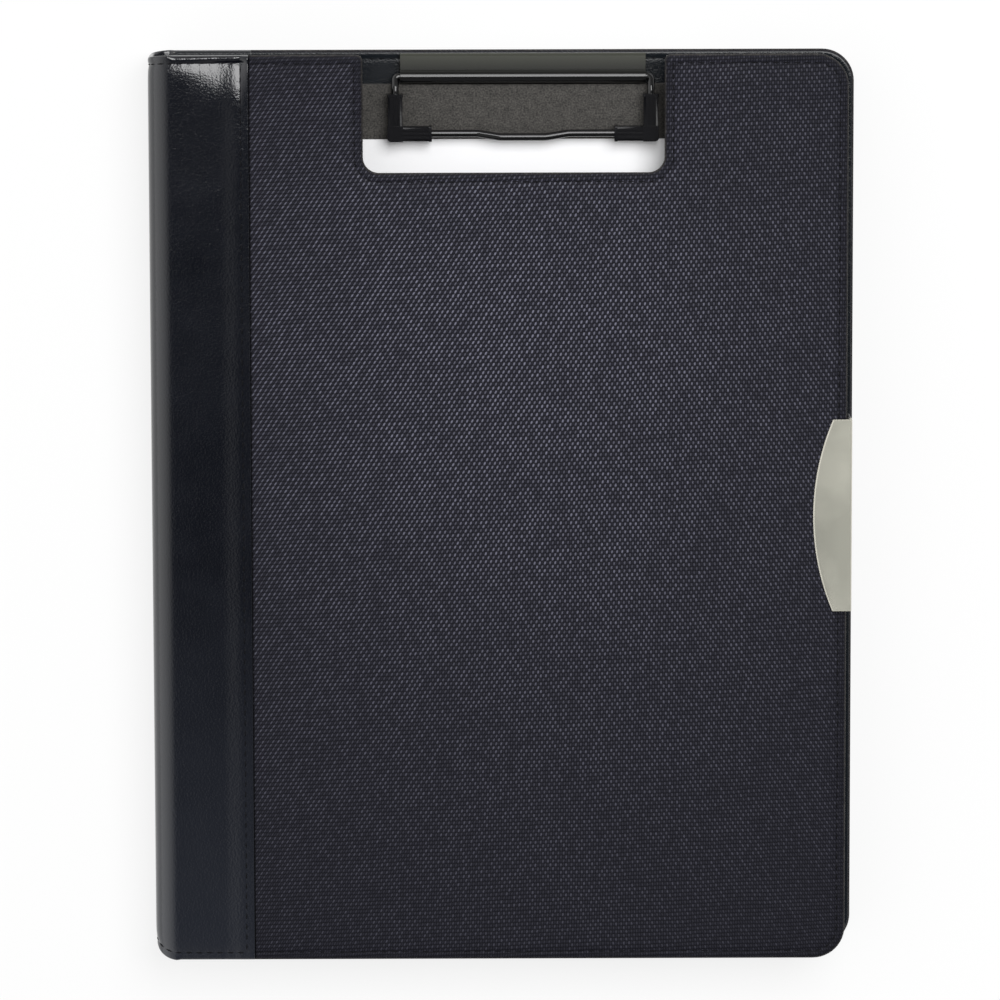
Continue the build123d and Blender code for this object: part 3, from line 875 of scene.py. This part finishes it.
back_lining_face = cover_lining("back", back_corners, back_lining_margin, 1, lining_crest)
front_lining_face = cover_lining("front", front_corners, lining_margin, -1)

# Pockets: three flat pieces of the same leatherette on the front lining, sewn down on three
# sides. The large one has a slanted mouth, and the two card pockets open towards the clip.
pocket_wall = 0.35 * mm
pocket_stitch = 1.8 * mm
pocket_stitch_sink = 0.1 * mm
document_mouth = -25.0 * mm
card_corner = 3.0 * mm


def pocket(node, corner, mouth=None):
    """A pocket on the front lining, and the line of its stitches.

    Its last edge is its mouth, which slants where the mouth's right end is given.
    """
    low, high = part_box(node)
    corners = [
        (low.x, high.y, corner),
        (low.x, low.y, corner),
        (high.x, low.y, corner),
        (high.x, high.y if mouth is None else mouth, corner),
    ]
    made = lined(f"{node}_sheet", corners, low.z, -1, pocket_stitch, pocket_wall, cut=False)
    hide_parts(node)
    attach(made, "front_cover")
    path = joined(*border(corners, [pocket_stitch])[0].T, low.z + pocket_stitch_sink)
    return path, np.broadcast_to([0.0, 0.0, -1.0], path.shape)


pocket_lines = [
    pocket("document_pocket", 0, document_mouth),
    pocket("card_pocket_lower", card_corner),
    pocket("card_pocket_upper", card_corner),
]

# Spine lining: thin leatherette inside the fold, one half to each cover. Each half laps over
# the cover's lining, and follows the bend to the middle of the spine.
spine_lap = 3.0 * mm
spine_inner_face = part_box("spine_lining")[1].x
spine_lining_end = 1.5 * mm
spine_lining_rise = 4.0 * mm
spine_lining_bend = bend_x + 1.2 * mm
near_end = 10 * mm
end_row = 1.0 * mm
middle_row = 4.0 * mm


def spine_lining_half(name, side):
    """A flat lap, a quarter ellipse and a straight half of the spine, from end to end."""
    level = back_lining_face + lining_wall if side < 0 else front_lining_face - lining_wall
    middle = (back_face + front_face) / 2
    turn = np.linspace(0, pi / 2, 14)
    tall = middle - spine_lining_rise - level if side < 0 else level - middle - spine_lining_rise
    x = np.concatenate(
        [
            np.linspace(spine_lining_bend + spine_lap, spine_lining_bend, 5)[:-1],
            spine_lining_bend - (spine_lining_bend - spine_inner_face) * np.sin(turn),
            np.full(4, spine_inner_face),
        ]
    )
    up = np.concatenate(
        [np.zeros(4), tall * (1 - np.cos(turn)), tall + spine_lining_rise * np.linspace(0.25, 1, 4)]
    )
    path = joined(x, level - side * up)
    y = np.concatenate(
        [
            np.arange(spine_lining_end, near_end, end_row),
            np.arange(near_end, cover_length - near_end, middle_row),
            np.arange(cover_length - near_end, cover_length - spine_lining_end, end_row),
        ]
    )
    points = joined(path[:, :1], drawn(path, y), path[:, 1:])
    flat_cut = joined(run(path)[:, None], y)
    faces = quads(*points.shape[:2])[:, ::-side].tolist()
    made = piece(name, points, faces, lining_look, flat_cut)
    walled(made, lining_wall * wall_share)
    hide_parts("spine_lining")
    bent(made)


spine_lining_half("spine_lining_front", 1)
spine_lining_half("spine_lining_back", -1)

# Clip plate: spring steel in black lacquer, folded at the top edge and rolled into a barrel,
# satin on the flat and glossy on the roll. It keeps its built shape, as all the rigid pieces
# do, with the small rounding that catches the light on the edges of pressed and moulded parts.
barrel_back = 162.3 * mm
roll_edge = 0.6 * mm
roof_depth = 8.0 * mm


def eased(node, name, width, material, body, crease=30):
    """A copy of a built piece with merged faces and edges rounded by a width."""
    mesh = frame["nodes"][node].data.copy()
    mesh.name = name
    shape = bmesh.new()
    shape.from_mesh(mesh)
    bmesh.ops.remove_doubles(shape, verts=shape.verts, dist=2e-6)
    if width:
        bmesh.ops.dissolve_limit(
            shape, angle_limit=radians(1), verts=shape.verts, edges=shape.edges
        )
    shape.to_mesh(mesh)
    shape.free()
    mesh.shade_smooth()
    mesh.set_sharp_from_angle(angle=radians(crease))
    mesh.materials.clear()
    mesh.materials.append(material)
    made = shown(name, mesh)
    if width:
        rounding = made.modifiers.new("rounding", "BEVEL")
        rounding.width = width
        rounding.segments = 2
        rounding.limit_method = "ANGLE"
        rounding.angle_limit = radians(crease)
        rounding.harden_normals = True
    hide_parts(node)
    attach(made, body)
    return made


def black_lacquer():
    """Near black; behind the roll the coat fades and the colour lightens."""
    paint = Paint("black_lacquer")
    place = paint.place()
    _, y, _ = paint.parts(place)
    peel = paint.noise(place, 900.0, 2.0)
    cloudy = paint.noise(place, 70.0, 2.0)
    flat = ((y - barrel_back) / roll_edge).clipped()
    # Painted reflection: the flat roof behind the roll is painted lighter, standing in for what it
    # mirrors.
    back = ((y - barrel_back) / roof_depth).clipped()
    shade = paint.mix(cloudy, (0.0022, 0.0022, 0.0026), (0.0038, 0.0038, 0.0040))
    shade = paint.mix(back, shade, (0.048, 0.050, 0.040))
    return paint.finish(
        Base_Color=shade,
        Roughness=0.42,
        Specular_IOR_Level=0.10,
        Coat_Weight=1 - flat * 0.97,
        Coat_Roughness=0.06,
        Normal=paint.bump(peel, 0.02 * mm, 0.08),
    )


lacquer = black_lacquer()
eased("clip_spring_plate", "clip_plate", 0.18 * mm, lacquer, "back_cover")

# Bail: 2.8 mm spring wire in the same lacquer, bent to a loop with a wave for the finger. Its
# turned-in ends lie in the barrel.
eased("bail_wire", "bail_loop", 0, lacquer, "bail", crease=50)


# Sleeves: satin black moulded corners, pushed on the wire where it turns. They are ribbed for
# grip, and each has a plain collar.
def grained(name, scale, detail, shades, relief, strength, roughness, spread=0, **sockets):
    """A material of two shades, whose colour, roughness and relief follow one grain."""
    paint = Paint(name)
    grain = paint.noise(paint.place(), scale, detail)
    return paint.finish(
        Base_Color=paint.mix(grain, *shades),
        Roughness=roughness + grain * spread if spread else roughness,
        **sockets,
        Normal=paint.bump(grain, relief, strength),
    )


def black_moulding():
    """Near black, with the fine even grain of a mould."""
    shades = ((0.0025, 0.0025, 0.0035), (0.0050, 0.0050, 0.0064))
    return grained(
        "black_moulding", 1600.0, 2.0, shades, 0.01 * mm, 0.15, 0.20, 0.05, Specular_IOR_Level=0.22
    )


moulding = black_moulding()
for hand in ("left", "right"):
    sleeve = f"sleeve_{hand}"
    eased(f"bail_{sleeve}", sleeve, 0.14 * mm, moulding, "bail")


# Clasp plate: pressed metal with a satin champagne plating, brushed along its length, with a
# painted highlight on the bevel along the curved edge and soft darker smudges from handling.
def satin_plating():
    """Brushed along the plate, smudged, and lighter where it slopes away."""
    paint = Paint("satin_plating")
    place = paint.place()
    stretched = paint.node(
        "Mapping", inputs={"Vector": place, "Scale": (1.0, 0.04, 1.0)}
    )
    brushed = paint.noise(stretched, 5200.0, 2.0)
    smudge = paint.noise(place, 42.0, 3.0)
    stain = paint.ramp(smudge, (0.35, (0.31, 0.307, 0.262)), (0.62, (0.40, 0.394, 0.338)))
    # Painted highlight: the plating is painted lighter where its face slopes away, on the curved
    # edge's bevel.
    _, _, facing_up = paint.parts(paint.node("TexCoord", output="Normal"))
    bevel_highlight = ((0.97 - facing_up) * 6.0).clipped()
    stain = paint.mix(bevel_highlight, stain, (0.62, 0.60, 0.52))
    normal = paint.bump(brushed, 0.02 * mm, 0.12)
    return paint.finish(
        Base_Color=stain, Metallic=0.55, Roughness=0.42 + brushed * 0.12, Normal=normal
    )


satin = satin_plating()
eased("clasp_plate", "clasp_cover_plate", 0.15 * mm, satin, "front_cover")

# Writing pad: a block of white sheets, each lying a little differently, on a brown-grey card,
# with a dark card strip folded over the top end.
sheets_low, sheets_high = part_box("pad_sheets")
leaves = 26
leaf_stray = 0.12 * mm
leaf_corner = 0.6 * mm
leaf_step = 20.0 * mm


def paper():
    """White, a little uneven, with the relief of its fibres."""
    paint = Paint("white_paper")
    place = paint.place()
    fibres = paint.noise(place, 700.0, 4.0)
    cloudy = paint.noise(place, 25.0, 2.0)
    shade = paint.mix(cloudy, (0.91, 0.91, 0.93), (0.94, 0.94, 0.945))
    return paint.finish(
        Base_Color=shade, Roughness=0.85, Normal=paint.bump(fibres, 0.03 * mm, 0.3)
    )


def paper_block():
    """Rounded rectangles stacked up, two to a leaf, each drawn in by its leaf's stray."""
    dice = np.random.default_rng(5)
    stray = np.repeat(dice.uniform(0, leaf_stray, leaves), 2)
    stray[-1] = stray[0] = 0.0
    level = np.linspace(sheets_low.z, sheets_high.z, leaves + 1)
    heights = np.stack([level[:-1], level[1:]], 1).ravel()
    low, high = sheets_low, sheets_high
    spots = ((low.x, low.y), (high.x, low.y), (high.x, high.y), (low.x, high.y))
    corners = [(x, y, leaf_corner) for x, y in spots]
    flat = border(corners, stray, step=leaf_step, cut=False)
    points = joined(flat[..., 0], flat[..., 1], heights[:, None])
    foot = np.arange(flat.shape[1])[::-1].tolist()
    faces = [*filled(flat.shape[:2], closed=True), foot]
    return piece("writing_sheets", points, faces, paper(), smooth=False)


writing_sheets = paper_block()
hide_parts("pad_sheets")
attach(writing_sheets, "pad")


def header_card():
    """Dark brown-grey card, speckled by its fibres."""
    paint = Paint("header_card")
    place = paint.place()
    fibre = paint.noise(place, 1500.0, 4.0)
    cloudy = paint.noise(place, 300.0, 3.0)
    speck = fibre * 0.75 + cloudy * 0.25
    shade = paint.ramp(speck, (0.36, (0.0100, 0.0091, 0.0080)), (0.64, (0.068, 0.0635, 0.0575)))
    return paint.finish(
        Base_Color=shade, Roughness=0.8, Normal=paint.bump(fibre, 0.05 * mm, 0.35)
    )


eased("pad_header", "pad_header_strip", 0.12 * mm, header_card(), "pad")


# Thread: black bonded polyester, in single stitches along every seam, each a little raised
# between its two holes.
thread_radius = 0.24 * mm
thread_half = 1.45 * mm
thread_rings = 5
thread_sides = 6
thread_taper = 0.86
thread_hump = 1.6
thread_sunk = 1.1
thread_aim = 0.5 * mm


def thread():
    """Near black, with the relief of the twist."""
    shades = ((0.0015, 0.0015, 0.0020), (0.0060, 0.0060, 0.0080))
    return grained(
        "black_thread", 4000.0, 2.0, shades, 0.04 * mm, 0.5, 0.6, Specular_IOR_Level=0.12
    )


thread_look = thread()


def stitches(name, lines):
    """Stitches along lines, each a bowed spindle between two holes a pitch apart.

    A line is its points and the direction that each one faces. A stitch is a row of rings,
    whose radius and rise follow most of the hump of a cosine.
    """
    spots, aheads, raises = [], [], []
    for path, up in lines:
        length = run(path)
        middle = (np.arange(int(length[-1] / stitch_pitch)) + 0.5) * stitch_pitch

        def at(where, values):
            return np.stack([np.interp(where, length, values[:, i]) for i in range(3)], 1)

        spots.append(at(middle, path))
        aheads.append(at(middle + thread_aim, path) - at(middle - thread_aim, path))
        raises.append(at(middle, up))
    spot, ahead, raised = (np.concatenate(parts) for parts in (spots, aheads, raises))
    ahead /= np.linalg.norm(ahead, axis=1, keepdims=True)
    raised /= np.linalg.norm(raised, axis=1, keepdims=True)
    aside = np.cross(ahead, raised)
    ring = np.linspace(-1, 1, thread_rings)[:, None, None]
    swell = np.cos(ring * pi / 2 * thread_taper)
    turn = np.linspace(0, 2 * pi, thread_sides, endpoint=False)[:, None]
    out_x = thread_radius * swell * np.cos(turn)
    out_z = thread_radius * swell * np.sin(turn)
    rise = thread_radius * (thread_hump * swell - thread_sunk)
    points = (
        spot[:, None, None, :]
        + ahead[:, None, None, :] * (thread_half * ring)
        + aside[:, None, None, :] * out_x
        + raised[:, None, None, :] * (out_z + rise)
    )
    first = thread_rings * thread_sides * np.arange(len(spot))[:, None, None]
    around = quads(thread_rings, thread_sides, closed=True)
    foot = np.arange(thread_sides)
    caps = np.stack([foot[::-1], (thread_rings - 1) * thread_sides + foot])
    faces = (around + first).reshape(-1, 4).tolist()
    faces += (caps + first).reshape(-1, thread_sides).tolist()
    return piece(name, points, faces, thread_look, merge=0)


def cover_stitches(name, corners, level, side, body):
    """Stitches round a cover, on its stitch line."""
    line = border(corners, [stitch_inset])[0]
    path = joined(*line.T, level)
    up = np.broadcast_to([0.0, 0.0, side], path.shape)
    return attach(stitches(name, [(path, up)]), body)


cloth_sink = rim_drop + 0.25 * mm
lining_sink = 0.15 * mm
for name, corners, level, side, body in (
    ("front_edge_stitches", front_corners, front_face - cloth_sink, 1.0, "front_cover"),
    ("front_inner_stitches", front_corners, front_lining_face + lining_sink, -1.0, "front_cover"),
    ("back_edge_stitches", back_corners, back_face + cloth_sink, -1.0, "back_cover"),
    ("back_inner_stitches", back_corners, back_lining_face - lining_sink, 1.0, "back_cover"),
):
    cover_stitches(name, corners, level, side, body)

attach(stitches("pocket_stitches", pocket_lines), "front_cover")
bent(stitches("front_leather_stitches", front_sewn))
bent(stitches("back_leather_stitches", back_sewn))

# Clasp strap: a tongue of duller black leatherette, sewn up with a magnet in its foot. Its root
# is held between the metal plate and the cover's edge, and it hangs over the closed edge.
strap_low, strap_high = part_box("clasp_strap")
root_low, root_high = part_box("clasp_strap_root")
magnet_low, magnet_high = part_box("clasp_magnet")
strap_corner = 5.0 * mm
strap_rim = 0.5 * mm
strap_stitch = 2.2 * mm
strap_dip = 0.15 * mm
strap_dip_width = 0.6 * mm
strap_sole = 0.8 * mm
magnet_bulge = 0.12 * mm
magnet_fade = 1.5 * mm
side_points = 91
strap_step = 2.0 * mm
strap_thread_sink = 0.1 * mm
strap_look = leatherette("strap_leatherette", leather_shade, 0.40, 0.30)
strap_flex_top = root_low.z
strap_lift_from = strap_high.z - 0.4 * mm
flex_rows_from = 15.0 * mm
flex_rows_past = 0.4 * mm
top_rows_from = 0.5 * mm
strap_top_gap = 0.2 * mm


def within(value, low, high):
    """1 from low to high, falling smoothly to 0 over the magnet's fade beyond them."""
    return soft_step(value, low - magnet_fade, low) * soft_step(-value, -high - magnet_fade, -high)


def strap_slab():
    """Level loops round a thin slab, whose foot has round corners and a round edge.

    A loop's half length at a height h over the foot is L - r + sqrt(r^2 - (r - h)^2) for h
    under the corner radius r. The outer face bulges over the magnet and dips at the stitches.
    """
    rise = np.concatenate([[0, 0.05, 0.15, 0.3, 0.5, 0.8, 1.2, 1.7], np.arange(2.3, 15, 0.8)]) * mm
    flex = np.linspace(flex_rows_from, strap_flex_top - strap_low.z + flex_rows_past, 11)
    top = np.linspace(flex[-1] + top_rows_from, root_high.z - strap_low.z - strap_top_gap, 5)
    height = np.concatenate([rise, flex, top])
    level = strap_low.z + height
    half_length = (strap_high.y - strap_low.y) / 2
    short = strap_corner - np.sqrt(
        np.maximum(strap_corner**2 - np.maximum(strap_corner - height, 0) ** 2, 0)
    )
    thin = np.sqrt(np.clip(1 - (1 - height / strap_sole).clip(0) ** 2, 0.02, 1))
    lifted = soft_step(level, strap_lift_from, root_low.z)
    outer = strap_high.x + (root_high.x - strap_high.x) * lifted
    inner = strap_low.x + (root_low.x - strap_low.x) * lifted
    middle, half = (outer + inner) / 2, (outer - inner) / 2 * thin
    side = np.linspace(-1, 1, side_points)
    flat = np.ones(side_points)
    turn = np.linspace(pi / 2, -pi / 2, 7)[1:-1]
    end = np.ones(len(turn))
    along = np.concatenate([side, end, side[::-1], -end])
    cap = np.concatenate([0 * flat, np.cos(turn), 0 * flat, np.cos(turn)])
    thick = np.concatenate([flat, np.sin(turn), -flat, -np.sin(turn)])
    flat_half = (half_length - short - strap_rim)[:, None]
    centre = (strap_low.y + strap_high.y) / 2
    y = along * flat_half + np.sign(along) * cap * strap_rim + centre
    x = middle[:, None] + thick * half[:, None]
    z = level[:, None]
    edge = np.minimum(half_length - np.abs(y - centre), z - strap_low.z)
    dip = strap_dip * bell(edge - strap_stitch, strap_dip_width)
    over = within(z, magnet_low.z, magnet_high.z) * within(y, magnet_low.y, magnet_high.y)
    points = joined(x + np.where(thick > 0.5, magnet_bulge * over - dip, 0), y, z)
    *faces, top = filled(y.shape, closed=True)
    faces += [np.arange(y.shape[1])[::-1].tolist(), top]
    plan = joined(run(points[0]), z)
    made = piece(
        "clasp_strap_leather", points, faces, strap_look, plan, merge=0
    )
    outline = [
        (strap_low.y, root_low.z, 0),
        (strap_low.y, strap_low.z, strap_corner),
        (strap_high.y, strap_low.z, strap_corner),
        (strap_high.y, root_low.z, 0),
    ]
    line = border(outline, [strap_stitch], step=strap_step)[0]
    path = joined(strap_high.x - strap_thread_sink, *line.T)
    return made, [(path, np.broadcast_to([1.0, 0.0, 0.0], path.shape))]


strap, strap_lines = strap_slab()
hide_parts("clasp_strap", "clasp_strap_root")
for made in (strap, stitches("strap_stitches", strap_lines)):
    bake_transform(made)

# Pen loop: ribbed elastic band. A ring of it stands on a flat foot strip, which is sewn to the
# back lining.
loop_low, loop_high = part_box("pen_loop")
elastic_wall = 0.8 * mm
rib_pitch = 1.2 * mm
knit_pitch = 0.7 * mm
foot_stitch = 1.6 * mm
foot_thread_sink = 0.1 * mm
loop_radius = 5.8 * mm
ring_gap = 0.02 * mm
foot_high = loop_low.z + elastic_wall


def knitted_elastic():
    """Ribs along the band, crossed by fine rows of stitches."""
    paint = Paint("knitted_elastic")
    along, across, _ = paint.parts(paint.plan())
    rib = (across * (2 * pi / rib_pitch)).sine() * 0.5 + 0.5
    knit = (along * (2 * pi / knit_pitch)).sine() * 0.5 + 0.5
    # The colour follows the relief and is darker in the grooves between the ribs: a painted shade.
    height = rib * 0.75 + knit * rib * 0.25
    return paint.finish(
        Base_Color=paint.mix(height, (0.006, 0.006, 0.007), (0.030, 0.030, 0.034)),
        Roughness=0.75,
        Normal=paint.bump(height, 0.15 * mm, 0.8),
    )


def pen_band():
    """A flat foot, and a round ring flattened where it stands on the foot, both 24 mm wide."""
    across = np.linspace(loop_low.y, loop_high.y, 25)
    turn = np.linspace(-pi / 2, 3 * pi / 2, 61)
    middle_x = (loop_low.x + loop_high.x) / 2
    ring_x = middle_x + loop_radius * np.cos(turn)
    ring_z = np.maximum(loop_high.z - loop_radius * (1 - np.sin(turn)), foot_high + ring_gap)
    foot_x = np.linspace(loop_low.x, loop_high.x, 9)
    parts, faces, plans, count = [], [], [], 0
    for x, z in ((foot_x, np.full(9, foot_high)), (ring_x[::-1], ring_z[::-1])):
        parts.append(joined(x[:, None], across, z[:, None]).reshape(-1, 3))
        plans.append(joined(run(joined(x, z))[:, None], across).reshape(-1, 2))
        faces += quads(len(x), len(across), offset=count)[:, ::-1].tolist()
        count += len(x) * len(across)
    points, plan = np.concatenate(parts), np.concatenate(plans)
    made = piece("pen_loop_band", points, faces, knitted_elastic(), plan)
    return walled(made, elastic_wall)


pen_loop = pen_band()
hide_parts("pen_loop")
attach(pen_loop, "back_cover")
foot_lines = []
for x in (loop_low.x + foot_stitch, loop_high.x - foot_stitch):
    path = np.array([(x, y, foot_high - foot_thread_sink) for y in (loop_low.y, loop_high.y)])
    foot_lines.append((path, np.broadcast_to([0.0, 0.0, 1.0], path.shape)))
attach(stitches("pen_loop_stitches", foot_lines), "back_cover")

# Boards, rivets, keeper, magnet and the pad's card: every other built piece keeps its shape
# and takes the finish of its slot. The spine's board is cut short where the leather draws in.
strip_foot_gap = 1.5 * mm
strip_top_gap = 2.4 * mm


def board_card(name, dark, light):
    """Pressed grey or brown card, with short fibres."""
    return grained(name, 500.0, 4.0, (dark, light), 0.05 * mm, 0.3, 0.85)


def bare_steel(name, shade):
    """Bare metal with fine drawn lines and a dull bloom."""
    paint = Paint(name)
    place = paint.place()
    lines = paint.noise(place, 1400.0, 3.0)
    return paint.finish(
        Base_Color=paint.mix(lines, tuple(0.8 * part for part in shade), shade),
        Metallic=0.9,
        Roughness=0.32 + lines * 0.15,
    )


rest_looks = {
    "greyboard": board_card("greyboard", (0.27, 0.255, 0.23), (0.36, 0.34, 0.31)),
    "pad_card": board_card("pad_card", (0.33, 0.30, 0.25), (0.42, 0.38, 0.31)),
    "bright_steel": bare_steel("bright_steel", (0.62, 0.62, 0.60)),
    "magnet": bare_steel("magnet_grey", (0.22, 0.22, 0.23)),
}
spine_strip = eased(
    "spine_board", "spine_strip", 0, rest_looks["greyboard"], "spine"
)
strip_points = np.empty(3 * len(spine_strip.data.vertices))
spine_strip.data.vertices.foreach_get("co", strip_points)
strip_foot, strip_top = drawn_foot + strip_foot_gap - cover_top, cover_top - strip_top_gap
strip_points[1::3] = strip_points[1::3].clip(strip_foot, strip_top)
spine_strip.data.vertices.foreach_set("co", strip_points)
slots = {row["node"]: row["material_slot"] for row in frame["record"]["subparts"]}
for node, built in frame["nodes"].items():
    if not built.hide_render:
        built.data.materials.clear()
        built.data.materials.append(rest_looks[slots[node]])

bpy.context.view_layer.update()
